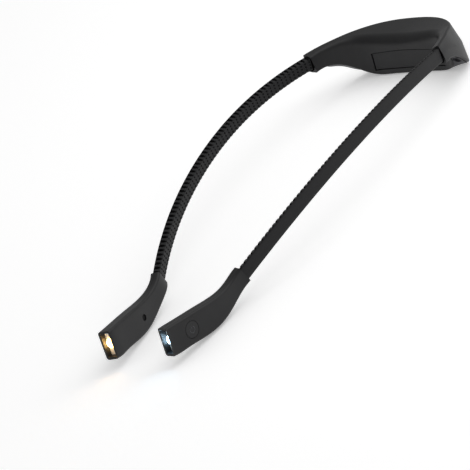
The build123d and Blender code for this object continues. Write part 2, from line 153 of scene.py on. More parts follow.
def lay(
    tree: bpy.types.NodeTree,
    shader: bpy.types.Node,
    tint: tuple[bpy.types.NodeSocket, tuple[float, str], tuple[float, str]],
    shine: tuple[bpy.types.NodeSocket, float, float],
    relief: tuple[bpy.types.NodeSocket, float, float],
) -> None:
    """Ends a material the way they all end: drifting colour and roughness, and a fine bump.

    Args:
        tree: the material's node tree.
        shader: its shader.
        tint: a noise, then each of two stops as its place and its sRGB hex colour.
        shine: a noise, then the roughness where it is at 0.3 and where it is at 0.7.
        relief: a height, then the bump's strength and its depth in millimetres.
    """
    noise, *stops = tint
    ramp = add_node(tree, "ShaderNodeValToRGB", {"Fac": noise})
    for stop, (place, colour) in zip(ramp.color_ramp.elements, stops):
        stop.position = place
        stop.color = linear(colour)
    noise, smooth, rough = shine
    spread = add_node(
        tree, "ShaderNodeMapRange",
        {"Value": noise, "From Min": 0.3, "From Max": 0.7, "To Min": smooth, "To Max": rough},
    )
    height, strength, depth_mm = relief
    bump = add_node(
        tree, "ShaderNodeBump",
        {"Height": height, "Strength": strength, "Distance": depth_mm * MM},
    )
    tree.links.new(ramp.outputs["Color"], shader.inputs["Base Color"])
    tree.links.new(spread.outputs["Result"], shader.inputs["Roughness"])
    tree.links.new(bump.outputs["Normal"], shader.inputs["Normal"])


@dataclass(frozen=True)
class TexturedPlastic:
    """ABS moulded in a spark-eroded tool: a fine even grain that scatters highlights."""

    name: str
    dark: str
    light: str
    roughness: float
    grain_mm: float
    grain_depth_mm: float
    patch_mm: float = 9.0

    def make(self) -> bpy.types.Material:
        """Builds the material: grain in the bump, slow drift in tone and roughness.

        Returns:
            The finished material.
        """
        material, tree, shader = blank(self.name, IOR=1.53, Specular_IOR_Level=0.34)
        place = add_node(tree, "ShaderNodeTexCoord").outputs["Object"]
        patch = add_node(
            tree, "ShaderNodeTexNoise",
            {"Vector": place, "Scale": per_metre(self.patch_mm), "Detail": 3.0},
        ).outputs["Fac"]
        # The real grain is near 0.1 mm; it is drawn this coarse so that a close view shows it
        grain = add_node(
            tree, "ShaderNodeTexNoise",
            {"Vector": place, "Scale": per_metre(self.grain_mm), "Detail": 2.0, "Roughness": 0.6},
        ).outputs["Fac"]
        pits = add_node(
            tree, "ShaderNodeTexVoronoi",
            {"Vector": place, "Scale": per_metre(self.grain_mm * 1.7)}, feature="SMOOTH_F1",
        ).outputs["Distance"]
        relief = add_node(tree, "ShaderNodeMath", {0: grain, 1: pits}, operation="ADD").outputs[0]
        lay(
            tree, shader, (patch, (0.25, self.dark), (0.75, self.light)),
            (grain, self.roughness - 0.07, self.roughness + 0.07),
            (relief, 0.35, self.grain_depth_mm),
        )
        return material


@dataclass(frozen=True)
class SiliconeRubber:
    """Silicone rubber, moulded: a dull satin skin with a dusty sheen and a few pale specks."""

    name: str
    dark: str
    light: str
    roughness: float
    sheen: float = 0.04
    gloss: float = 0.34
    grain_mm: float = 0.35
    speck_mm: float = 0.9

    def make(self) -> bpy.types.Material:
        """Builds the material: soft grain, sparse specks of dust and a light sheen.

        Returns:
            The finished material.
        """
        material, tree, shader = blank(
            self.name, IOR=1.41, Sheen_Weight=self.sheen, Sheen_Roughness=0.5,
            Specular_IOR_Level=self.gloss,
        )
        place = add_node(tree, "ShaderNodeTexCoord").outputs["Object"]
        grain = add_node(
            tree, "ShaderNodeTexNoise",
            {"Vector": place, "Scale": per_metre(self.grain_mm), "Detail": 3.0},
        ).outputs["Fac"]
        specks = add_node(
            tree, "ShaderNodeTexNoise",
            {"Vector": place, "Scale": per_metre(self.speck_mm), "Detail": 4.0, "Roughness": 0.75},
        ).outputs["Fac"]
        lay(
            tree, shader, (specks, (0.30, self.dark), (0.82, self.light)),
            (grain, self.roughness - 0.06, self.roughness + 0.06), (grain, 0.3, 0.02),
        )
        return material


@dataclass(frozen=True)
class WorkedMetal:
    """A metal and the marks that its making leaves, seen as streaks in the highlight."""

    name: str
    colour: str
    stain: str
    roughness: float
    mark_mm: float
    stretch: tuple[float, float, float] = (1.0, 1.0, 1.0)

    def make(self) -> bpy.types.Material:
        """Builds the material: streaked roughness, a fine bump and a slight stain.

        Returns:
            The finished material.
        """
        material, tree, shader = blank(self.name, Metallic=1.0)
        place = add_node(tree, "ShaderNodeTexCoord").outputs["Object"]
        drawn = add_node(
            tree, "ShaderNodeMapping", {"Vector": place, "Scale": self.stretch}
        ).outputs["Vector"]
        marks = add_node(
            tree, "ShaderNodeTexNoise",
            {"Vector": drawn, "Scale": per_metre(self.mark_mm), "Detail": 4.0},
        ).outputs["Fac"]
        lay(
            tree, shader, (marks, (0.35, self.stain), (0.65, self.colour)),
            (marks, self.roughness - 0.08, self.roughness + 0.1), (marks, 0.2, 0.01),
        )
        return material


@dataclass(frozen=True)
class CoatedSheet:
    """A sheet or cup under a clear coat: solder mask, shrink film or a white reflector."""

    name: str
    dark: str
    light: str
    roughness: float
    coat: float
    pattern_mm: float
    depth_mm: float
    woven: bool = False

    def make(self) -> bpy.types.Material:
        """Builds the material: a woven or wrinkled ground under the coat.

        Returns:
            The finished material.
        """
        material, tree, shader = blank(
            self.name, IOR=1.5, Coat_Weight=self.coat, Coat_Roughness=0.08
        )
        place = add_node(tree, "ShaderNodeTexCoord").outputs["Object"]
        scale = per_metre(self.pattern_mm)
        if self.woven:
            # Glass cloth: about two threads in a millimetre, seen faintly through the mask
            ground = add_node(
                tree, "ShaderNodeTexBrick",
                {"Vector": place, "Scale": scale, "Mortar Size": 0.04, "Mortar Smooth": 0.4},
            ).outputs["Fac"]
        else:
            ground = add_node(
                tree, "ShaderNodeTexNoise",
                {"Vector": place, "Scale": scale, "Detail": 3.0, "Distortion": 0.6},
            ).outputs["Fac"]
        lay(
            tree, shader, (ground, (0.3, self.dark), (0.7, self.light)),
            (ground, self.roughness - 0.05, self.roughness + 0.05), (ground, 0.3, self.depth_mm),
        )
        return material


@dataclass(frozen=True)
class LitAcrylic:
    """Clear acrylic, moulded, lit from behind: it glows most where it is thickest."""

    name: str
    glow: Glow
    transmission: float
    roughness: float = 0.12
    ripple_mm: float = 0.8

    def make(self) -> bpy.types.Material:
        """Builds the material: a faintly rippled clear body that carries the lamp's light.

        Returns:
            The finished material.
        """
        colour, strength = self.glow.value
        material, tree, shader = blank(
            self.name, IOR=1.49, Transmission_Weight=self.transmission,
            Emission_Color=linear(colour), Emission_Strength=strength * (1.2 - self.transmission),
        )
        place = add_node(tree, "ShaderNodeTexCoord").outputs["Object"]
        ripple = add_node(
            tree, "ShaderNodeTexNoise",
            {"Vector": place, "Scale": per_metre(self.ripple_mm), "Detail": 2.0},
        ).outputs["Fac"]
        lay(
            tree, shader, (ripple, (0.0, "#E9EDEE"), (1.0, "#FFFFFF")),
            (ripple, self.roughness - 0.04, self.roughness + 0.04), (ripple, 0.2, 0.01),
        )
        return material


# Mouldings. Their grain is the fine spark texture that the photo's dull highlights suggest
SHELL_PLASTIC = TexturedPlastic(
    "ABS_moulded_fine_grain_black", "#0A0A0C", "#0F0F11", 0.48, 0.22, 0.03
)
# Painted light: the cover is the shell's black lightened to grey, standing for the light that its
# face round the socket catches from below and in front
COVER_PLASTIC_PAINTED_LIGHT = TexturedPlastic(
    "ABS_moulded_cover_black_painted_light", "#222226", "#29292D", 0.46, 0.22, 0.03
)
DOOR_PLASTIC = TexturedPlastic(
    "ABS_moulded_door_black", "#101012", "#151517", 0.55, 0.26, 0.035
)
BUTTON_PLASTIC = TexturedPlastic(
    "ABS_moulded_button_black", "#0F0F11", "#141416", 0.44, 0.18, 0.02
)
GLYPH_PLASTIC = TexturedPlastic(
    "ABS_moulded_sign_polished_grey", "#343438", "#3B3B40", 0.30, 0.15, 0.01
)
TONGUE_PLASTIC = TexturedPlastic(
    "LCP_moulded_tongue_grey", "#6F7072", "#7C7D80", 0.40, 0.15, 0.01
)
RUBBER = SiliconeRubber("silicone_rubber_moulded_black", "#101011", "#1D1D1F", 0.58)
# Painted shade: the flange sits in the mouth's shadow and is made near-black with hardly any
# gloss, so it stands for that shadow as a black line
FLANGE_PAINTED_SHADE = SiliconeRubber(
    "silicone_rubber_moulded_flange_black", "#010101", "#030303", 0.85, 0.0, 0.06
)
# Metals. Drawn and turned ones have their marks stretched along the work
CORE_METAL = WorkedMetal(
    "aluminium_wire_drawn", "#D3D4D6", "#B5B6B9", 0.36, 0.25, (4.0, 0.3, 4.0)
)
FERRULE = WorkedMetal("brass_turned", "#D9B36A", "#C09A52", 0.30, 0.2, (6.0, 0.5, 6.0))
SCREW_STEEL = WorkedMetal("steel_zinc_plated_black", "#1A1A1C", "#0D0D0E", 0.45, 0.3)
# Painted shade: the bright nickel plate is darkened to grey for the shade deep in the socket
SOCKET_STEEL_PAINTED_SHADE = WorkedMetal(
    "steel_stamped_nickel_plated", "#4C4C50", "#3C3C40", 0.42, 0.4, (1.0, 3.0, 1.0)
)
SWITCH_METAL = WorkedMetal("steel_stamped_dome_cover", "#C9CACC", "#ACADB0", 0.28, 0.5)
# Hidden parts under a clear coat
CELL_WRAP = CoatedSheet(
    "PET_film_shrunk_blue_grey", "#8E9BA8", "#A3AFBA", 0.30, 0.5, 4.0, 0.05
)
LAMINATE = CoatedSheet(
    "glass_laminate_green_mask", "#0F4A2B", "#15613A", 0.35, 0.6, 0.5, 0.02, True
)
WHITE_CUP = CoatedSheet(
    "PC_moulded_white_reflector", "#F1F0EC", "#FBFAF7", 0.18, 0.4, 1.5, 0.01
)


def dress(finish: bpy.types.Material, *nodes: str) -> None:
    """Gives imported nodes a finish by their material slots; their meshes stay as they are.

    Args:
        finish: the material.
        nodes: the names of the nodes.
    """
    for name in nodes:
        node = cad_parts[name]
        if not node.material_slots:
            node.data.materials.append(finish)
        for place in node.material_slots:
            place.link = "OBJECT"
            place.material = finish


def put_mesh(
    name: str,
    points: np.ndarray,
    faces: np.ndarray,
    finish: bpy.types.Material,
    crease: float = 38.0,
) -> bpy.types.Object:
    """Puts whole arrays into a mesh object at the origin.

    Args:
        name: the piece's name.
        points: vertices in millimetres, one row each.
        faces: vertex numbers of four-sided faces, one row each.
        finish: the material.
        crease: edges that turn by more degrees than this stay sharp.

    Returns:
        The new object.
    """
    mesh = bpy.data.meshes.new(name)
    mesh.vertices.add(len(points))
    mesh.vertices.foreach_set("co", (points * MM).astype(np.float32).ravel())
    mesh.loops.add(faces.size)
    mesh.loops.foreach_set("vertex_index", faces.astype(np.int32).ravel())
    mesh.polygons.add(len(faces))
    mesh.polygons.foreach_set("loop_start", np.arange(len(faces), dtype=np.int32) * faces.shape[1])
    mesh.update(calc_edges=True)
    mesh.validate()
    mesh.polygons.foreach_set("use_smooth", np.ones(len(mesh.polygons), dtype=bool))
    mesh.set_sharp_from_angle(angle=math.radians(crease))
    mesh.materials.append(finish)
    piece = bpy.data.objects.new(name, mesh)
    bpy.context.scene.collection.objects.link(piece)
    return piece


def trimmed_copy(
    name: str,
    node: str,
    change: Callable[[np.ndarray], np.ndarray],
    finish: bpy.types.Material,
) -> bpy.types.Object:
    """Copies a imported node's mesh, joins its loose triangles and moves its vertices.

    Args:
        name: the new piece's name.
        node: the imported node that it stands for.
        change: turns all the vertices, in millimetres, into their new places.
        finish: the material.

    Returns:
        The new object, which replaces the node.
    """
    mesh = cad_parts[node].data.copy()
    mesh.name = name
    loose = bmesh.new()
    loose.from_mesh(mesh)
    bmesh.ops.remove_doubles(loose, verts=loose.verts, dist=WELD_MM * MM)
    loose.to_mesh(mesh)
    loose.free()
    points = np.empty(len(mesh.vertices) * 3, dtype=np.float32)
    mesh.vertices.foreach_get("co", points)
    points = change(points.reshape(-1, 3).astype(float) / MM)
    mesh.vertices.foreach_set("co", (points * MM).astype(np.float32).ravel())
    mesh.materials.clear()
    mesh.materials.append(finish)
    if "custom_normal" in mesh.attributes:
        mesh.attributes.remove(mesh.attributes["custom_normal"])
    mesh.polygons.foreach_set("use_smooth", np.ones(len(mesh.polygons), dtype=bool))
    mesh.set_sharp_from_angle(angle=math.radians(COPY_CREASE))
    piece = bpy.data.objects.new(name, mesh)
    bpy.context.scene.collection.objects.link(piece)
    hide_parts(node)
    return piece


def ring_faces(rows: int, columns: int, closed: bool, flip: bool) -> np.ndarray:
    """Numbers the quads of a grid whose columns close round, and its rows too if wanted.

    Args:
        rows: number of rows.
        columns: number of columns.
        closed: whether the last row joins the first.
        flip: turns the faces over, for a mirrored piece.

    Returns:
        One row of four vertex numbers for each face.
    """
    row = np.arange(rows if closed else rows - 1)[:, None]
    column = np.arange(columns)[None, :]
    after = (column + 1) % columns
    below = (row + 1) % rows
    here, there = row * columns, below * columns
    quad = np.stack([here + column, here + after, there + after, there + column], -1)
    quad = quad.reshape(-1, 4)
    return quad[:, ::-1] if flip else quad


@dataclass(frozen=True)
class ArmLine:
    """An arm's centre line: two arcs of one plane that leans inward and down.

    Attributes:
        neck_gap: distance between the two arms' roots.
        root_height: height of the root.
        spread: degrees by which the line sets off outward.
        rise: degrees by which it sets off upward.
        tilt: degrees by which the arcs' plane leans down from inward.
        upper_radius: radius of the arc by the housing.
        lower_radius: radius of the arc by the head.
        upper_length: length of the arc by the housing.
    """

    neck_gap: float = 110.0
    root_height: float = 29.4
    spread: float = 9.7
    rise: float = 10.85
    tilt: float = 44.9
    upper_radius: float = 312.0
    lower_radius: float = 346.0
    upper_length: float = 94.08

    def at(self, travel: np.ndarray) -> tuple[np.ndarray, np.ndarray, np.ndarray, np.ndarray]:
        """Follows the line: each arc turns the heading by travel / radius towards its side.

        Args:
            travel: distances from the root, any shape.

        Returns:
            Points, and unit directions outward, up and along, with a last axis of three.
        """
        out, up = math.radians(self.spread), math.radians(self.rise)
        tilt = math.radians(self.tilt)
        along = np.array(
            [math.sin(out) * math.cos(up), -math.cos(out) * math.cos(up), math.sin(up)]
        )
        lean = np.array([-math.cos(tilt), 0.0, -math.sin(tilt)])
        side = lean - along * (lean @ along)
        side /= np.linalg.norm(side)
        axis = np.cross(along, side)
        ring = self.neck_gap / 2 / math.cos(out)
        point = np.array([self.neck_gap / 2, -ring * (1 - math.sin(out)), self.root_height])
        root_up = np.array([0.0, 0.0, 1.0]) - along * along[2]
        root_up /= np.linalg.norm(root_up)
        rise_across, rise_side = root_up @ axis, root_up @ side
        first = (np.minimum(travel, self.upper_length) / self.upper_radius)[..., None]
        second = (np.maximum(travel - self.upper_length, 0.0) / self.lower_radius)[..., None]
        middle_side = side * np.cos(first) - along * np.sin(first)
        middle_along = along * np.cos(first) + side * np.sin(first)
        middle = point + (side - middle_side) * self.upper_radius
        end_side = middle_side * np.cos(second) - middle_along * np.sin(second)
        end_along = middle_along * np.cos(second) + middle_side * np.sin(second)
        end = middle + (middle_side - end_side) * self.lower_radius
        end_up = axis * rise_across + end_side * rise_side
        return end, np.cross(end_up, end_along), end_up, end_along


# Rows and columns round a dimple, in shares of its radius
DIMPLE_RINGS = np.array([0.17, 0.5, 0.85, 1.15])


@dataclass(frozen=True)
class SleeveSection:
    """The sleeve's outline, tall on the outer side, and where its columns stand.

    Attributes:
        thick: distance from the outer face to the inner face.
        outer_height: height of the outer face.
        inner_height: height of the inner face.
        corner: radius of the four corners.
        bore: radius of the bore round the core.
        slot_face: place across of the slots' outer wall.
        slot_back: place across of the slots' inner end.
        slot_round: place across where the inner end starts to round.
        slot_floor: height of the slots' floor over the middle.
        slot_half: half the slots' width.
        lip: length of the rounded lip along a slot.
        lip_drop: depth of that lip.
        dimple_rise: distance between the three rows of dimples.
        dimple_radius: radius of a dimple.
        dimple_depth: depth of a dimple.
    """

    thick: float = 4.8
    outer_height: float = 10.4
    inner_height: float = 7.5
    corner: float = 0.9
    bore: float = 1.3
    slot_face: float = 1.9
    slot_back: float = -1.6
    slot_round: float = -0.64
    slot_floor: float = 2.25
    slot_half: float = 1.0
    lip: float = 0.14
    lip_drop: float = 0.12
    dimple_rise: float = 2.1
    dimple_radius: float = 0.74
    dimple_depth: float = 0.95

    def upper(self) -> dict[str, np.ndarray]:
        """Walks the upper half from the outer face's middle to the inner face's middle.

        The two corners are arcs tangent to the faces, and the columns bunch up at the slot's
        two walls, where one column keeps the full height and the next can sink to the floor.

        Returns:
            For each column its place across, its height, whether it sinks in a slot, the slot's
            half width there, and how far it dips as part of the edge behind the slot's inner end.
        """
        half = self.thick / 2
        slope = math.atan2((self.outer_height - self.inner_height) / 2, self.thick)
        turn_out, turn_in = math.pi / 2 + slope, math.pi / 2 - slope
        centre_out = half - self.corner
        high_out = self.outer_height / 2 - self.corner * math.tan(turn_out / 2)
        centre_in = -half + self.corner
        high_in = self.inner_height / 2 - self.corner * math.tan(turn_in / 2)
        arc_out = np.radians([0.0, 22.0, 42.0, 59.0, 67.0, 80.0, 94.0])
        arc_out = np.append(arc_out, turn_out)
        arc_in = np.append(turn_out, np.radians([125.0, 145.0, 163.0, 180.0]))
        flat = np.array([0.7, 0.1, -0.4, self.slot_round, -0.95, -1.2, -1.4, -1.54, -1.64])
        face = self.outer_height / 2 - (half - flat) * math.tan(slope)
        rim = self.dimple_radius * np.concatenate([-DIMPLE_RINGS[::-1], DIMPLE_RINGS])
        dimples = np.sort(np.concatenate([self.dimple_rise + rim, rim]))[::-1]
        dimples = dimples[(dimples > 0.0) & (dimples < high_in - 0.02)]
        across = np.concatenate([
            [half, half], centre_out + self.corner * np.cos(arc_out), flat,
            centre_in + self.corner * np.cos(arc_in), np.full(len(dimples), -half),
        ])
        height = np.concatenate([
            [0.0, high_out * 0.55], high_out + self.corner * np.sin(arc_out), face,
            high_in + self.corner * np.sin(arc_in), dimples,
        ])
        sinks = (across < self.slot_face) & (across > self.slot_back) & (height > self.slot_floor)
        # The slot's inner end is round, and no column of it comes to a point
        past = np.maximum(self.slot_round - across, 0.0)
        reach = np.clip(self.slot_half ** 2 - past ** 2, 0.03, None)
        width = np.where(sinks, np.sqrt(reach), self.slot_half)
        edge = np.clip((height - high_in) / self.corner, 0.0, 1.0) * (across < self.slot_back)
        return {"across": across, "height": height, "sinks": sinks, "width": width, "edge": edge}

    def outline(self) -> dict[str, np.ndarray]:
        """Closes the outline: the upper half, then its mirror image below, counter-clockwise.

        Returns:
            The same lists as the upper half's, all the way round.
        """
        top = self.upper()
        below = {key: value[::-1].copy() for key, value in top.items()}
        below["height"] = -below["height"]
        # The outer face's middle column is shared by both halves
        return {key: np.concatenate([top[key], below[key][:-1]]) for key in top}


@dataclass(frozen=True)
class FlexibleArm:
    """One arm: a slotted silicone sleeve in lengths that bend into each other, over its core.

    Attributes:
        side: the side of the light.
        line: its centre line.
        section: its sleeve's outline.
        pitch: distance between two slots.
        slot_count: number of slots.
        tuck_root: length of sleeve inside the housing.
        tuck_head: length of sleeve inside the head's collar.
        hinge_slots: the slots that the joints are in, counted from 0 at the root.
        joins: the ribs in whose middle two lengths meet, in pitches from the root.
        bend_reach: how far from its joint a bend reaches.
        edge_dip: depth of the dips in the inner edges.
        dip_reach: half the length of a dip.
        flange_middle: travel of the flange's middle.
        flange_length: length of the flange along the arm.
        flange_rise: height of the flange over the sleeve.
    """

    side: Side
    line: ArmLine = ArmLine()
    section: SleeveSection = SleeveSection()
    pitch: float = 3.84
    slot_count: int = 60
    tuck_root: float = 4.5
    tuck_head: float = 6.5
    hinge_slots: tuple[int, ...] = (5, 15, 24, 34, 44, 54)
    joins: tuple[int, ...] = (1, 10, 20, 29, 39, 49, 59)
    bend_reach: float = 16.5
    edge_dip: float = 0.8
    dip_reach: float = 1.3
    flange_middle: float = 0.35
    flange_length: float = 0.9
    flange_rise: float = 0.75

    def rows(self, start: float, stop: float) -> tuple[np.ndarray, np.ndarray, np.ndarray]:
        """Lists the rows of a length of sleeve: plain ones, and the same few at every slot.

        Args:
            start: travel of the first row.
            stop: travel of the last row.

        Returns:
            For each row the travel of its slot's middle, its offset from that, and its depth:
            1 in the slot, 0.5 on the rounded lip, 0 just past it, and -1 in the ribs between.
        """
        half = self.section.slot_half
        lip = self.section.lip
        ring = self.section.dimple_radius * DIMPLE_RINGS
        offset = np.concatenate([ring, [half, half + lip * 0.4, half + lip * 1.4]])
        depth = np.concatenate([np.ones(len(ring) + 1), [0.5, 0.0]])
        offset = np.concatenate([-offset[::-1], offset])
        depth = np.concatenate([depth[::-1], depth])
        middles = (np.arange(self.slot_count) + 0.5) * self.pitch
        middles = middles[(middles > start) & (middles < stop)]
        middle = np.repeat(middles, len(offset))
        offset = np.tile(offset, len(middles))
        depth = np.tile(depth, len(middles))
        ribs = [[start, stop], middles - self.pitch / 2, middles + self.pitch / 2]
        plain = np.unique(np.round(np.concatenate(ribs), 6))
        plain = plain[(plain >= start - 1e-6) & (plain <= stop + 1e-6)]
        middle = np.concatenate([middle, plain])
        offset = np.concatenate([offset, np.zeros(len(plain))])
        depth = np.concatenate([depth, np.full(len(plain), -1.0)])
        order = np.argsort(middle + offset)
        return middle[order], offset[order], depth[order]

    def surface(self, start: float, stop: float) -> tuple[np.ndarray, np.ndarray]:
        """Works out a length of sleeve as one closed grid.

        Point(row, column) = line(travel) + across * outward + height * up. In a slot's rows the
        sinking columns drop to the slot's floor, the inner edges dip by half a cosine, and
        three round dimples are pressed into the inner face by depth * 1.5 (1 - r^2 / R^2), at
        most depth. The rows then run back along the round bore, so that both ends are closed
        rings.

        Args:
            start: travel of the first row.
            stop: travel of the last row.

        Returns:
            Points in millimetres and the grid's faces.
        """
        outline = self.section.outline()
        middle, offset, depth = self.rows(start, stop)
        across = np.tile(outline["across"], (len(middle), 1))
        height = np.tile(outline["height"], (len(middle), 1))
        sign = np.sign(height)
        inside = outline["sinks"][None, :] & (depth[:, None] >= 1.0)
        on_lip = outline["sinks"][None, :] & (depth[:, None] == 0.5)
        plain = depth[:, None] < 0.0
        away = np.abs(offset)[:, None]
        near = np.clip(away / self.dip_reach, 0.0, 1.0)
        dip = self.edge_dip * 0.5 * (1.0 + np.cos(np.pi * near)) * outline["edge"][None, :]
        dip = np.where(plain, 0.0, dip)
        height = height - sign * np.where(on_lip, self.section.lip_drop, 0.0) - sign * dip
        height = np.where(inside, sign * self.section.slot_floor, height)
        share = outline["width"][None, :] / self.section.slot_half
        within = np.minimum(away, self.section.slot_half)
        beyond = away - within
        # The dimples' rows keep their spacing on the inner face
        inner = (outline["across"] < -self.section.thick / 2 + 0.05)[None, :]
        shifted = np.sign(offset)[:, None] * (within * np.where(inner, 1.0, share) + beyond)
        travel = middle[:, None] + np.where(plain, 0.0, shifted)
        rises = np.array([-1.0, 0.0, 1.0]) * self.section.dimple_rise
        gap = np.min(np.abs(outline["height"][None, :, None] - rises), axis=2)
        radius = np.hypot(gap, np.where(plain, np.inf, away)) / self.section.dimple_radius
        press = self.section.dimple_depth * np.clip(1.5 * (1.0 - radius ** 2), 0.0, 1.0)
        across = across + np.where(inner, press, 0.0)
        point, outward, up, _ = self.line.at(travel)
        skin = point + across[..., None] * outward + height[..., None] * up
        turn = np.arctan2(outline["height"], outline["across"])
        bore_rows = np.flatnonzero(depth < 0.0)[::-1]
        travel = np.tile(middle[bore_rows][:, None], (1, len(turn)))
        point, outward, up, _ = self.line.at(travel)
        spoke = np.cos(turn)[:, None] * outward + np.sin(turn)[:, None] * up
        bore = point + self.section.bore * spoke
        grid = np.concatenate([skin, bore])
        grid[..., 0] *= self.side.sign
        faces = ring_faces(grid.shape[0], grid.shape[1], True, self.side is Side.RIGHT)
        return grid.reshape(-1, 3), faces

    def flange(self, rubber: bpy.types.Material) -> None:
        """Moulds the low flange that closes the housing's mouth round the sleeve, as a near-black
        band of painted shade.

        Point(row, column) = line(travel) + (outline grown by a rounded profile), where the
        profile goes from the sleeve up over half an ellipse and back.

        Args:
            rubber: the flange's finish, near-black painted shade.
        """
        outline = self.section.outline()
        turn = np.radians(np.linspace(0.0, 360.0, 13)[:-1])
        grow = (self.flange_rise * np.sin(turn) + self.flange_rise * 0.3)[:, None]
        travel = (self.flange_middle - self.flange_length / 2 * np.cos(turn))[:, None]
        spread = np.hypot(outline["across"], outline["height"])[None, :]
        across = outline["across"][None, :] * (1.0 + grow / spread)
        height = outline["height"][None, :] * (1.0 + grow / spread)
        point, outward, up, _ = self.line.at(np.tile(travel, (1, across.shape[1])))
        grid = point + across[..., None] * outward + height[..., None] * up
        grid[..., 0] *= self.side.sign
        faces = ring_faces(grid.shape[0], grid.shape[1], True, self.side is Side.RIGHT)
        name = f"{self.side.value}_rubber_flange"
        piece = put_mesh(name, grid.reshape(-1, 3), faces, rubber, 70.0)
        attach(piece, "root")

    def place(self, travel: float) -> tuple[float, float, float]:
        """Gives the point of the line at a travel, in metres on this arm's own side.

        Args:
            travel: distance from the root in millimetres.

        Returns:
            The point's three coordinates.
        """
        point = self.line.at(np.array(travel))[0] * MM
        return (float(point[0]) * self.side.sign, float(point[1]), float(point[2]))

    def build(
        self, rubber: bpy.types.Material, shade_finish: bpy.types.Material, core: bpy.types.Material
    ) -> None:
        """Builds the sleeve's lengths and dresses the core.

        Args:
            rubber: the sleeve's finish.
            shade_finish: the finish of the flange at the housing's mouth, near-black painted
                shade.
            core: the core's finish.
        """
        label = self.side.value
        bodies = ["root"] + [f"{label}_arm_{n}" for n in range(2, 8)]
        marks = [-self.tuck_root] + [n * self.pitch for n in self.joins]
        marks.append(self.slot_count * self.pitch + self.tuck_head)
        for index, (start, stop) in enumerate(zip(marks[:-1], marks[1:])):
            piece = put_mesh(f"{label}_rubber_{index + 1}", *self.surface(start, stop), rubber)
            if index == 0:
                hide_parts(f"{label}_sleeve_1")
                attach(piece, "root")
            elif index < len(self.joins):
                middle = (self.hinge_slots[index - 1] + 0.5) * self.pitch
                if index > 1:
                    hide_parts(f"{label}_sleeve_{index}")
                self.place(middle - self.bend_reach)
                self.place(middle + self.bend_reach)
                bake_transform(piece)
            else:
                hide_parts(f"{label}_sleeve_7")
                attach(piece, bodies[-1])
            LOG.info("%s: %d faces", piece.name, len(piece.data.polygons))
        self.flange(shade_finish)
        dress(core, *[f"{label}_core_{n}" for n in range(1, 8)])


@dataclass(frozen=True)
class NeckHousing:
    """The battery housing behind the neck, its door, cover, socket and contents.

    Attributes:
        ring_radius: distance of the ring's middle in front of the origin.
        door_lift: how far the door comes towards the neck.
        door_gap: how much is trimmed off the door all round.
        door_height: the door's height.
        door_length: the door's length along the ring.
    """

    ring_radius: float = 55.79
    door_lift: float = 0.5
    door_gap: float = 0.3
    door_height: float = 12.4
    door_length: float = 60.0

    def flush_door(self, points: np.ndarray) -> np.ndarray:
        """Lifts the door nearly flush and trims its rim, so that the dark gap round it shows.

        In polar places round the ring's middle: radius less the lift, and angle and height
        scaled towards their middles by 1 - 2 * gap / size.

        Args:
            points: the door's vertices in millimetres.

        Returns:
            Their new places.
        """
        x, y, z = points[:, 0], points[:, 1] + self.ring_radius, points[:, 2]
        radius = np.hypot(x, y) - self.door_lift
        angle = np.arctan2(x, y) * (1.0 - 2.0 * self.door_gap / self.door_length)
        middle = (z.min() + z.max()) / 2
        height = middle + (z - middle) * (1.0 - 2.0 * self.door_gap / self.door_height)
        across, back = radius * np.sin(angle), radius * np.cos(angle) - self.ring_radius
        return np.stack([across, back, height], axis=1)

    def build(self) -> None:
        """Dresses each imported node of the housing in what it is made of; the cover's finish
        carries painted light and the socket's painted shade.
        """
        dress(SHELL_PLASTIC.make(), "housing_shell")
        dress(COVER_PLASTIC_PAINTED_LIGHT.make(), "bottom_cover")
        door = trimmed_copy(
            "battery_door_flush", "battery_door", self.flush_door, DOOR_PLASTIC.make()
        )
        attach(door, "root")
        dress(SOCKET_STEEL_PAINTED_SHADE.make(), "charging_socket")
        dress(TONGUE_PLASTIC.make(), "socket_tongue")
        dress(FERRULE.make(), "left_arm_anchor", "right_arm_anchor")
        dress(CELL_WRAP.make(), "battery_cell")
        LOG.info("housing dressed")


@dataclass(frozen=True)
class HeadFinishes:
    """The materials of a head's casing, button, raised sign, screw, boards, switch and cup."""

    shell: bpy.types.Material
    button: bpy.types.Material
    glyph: bpy.types.Material
    steel: bpy.types.Material
    board: bpy.types.Material
    switch: bpy.types.Material
    cup: bpy.types.Material


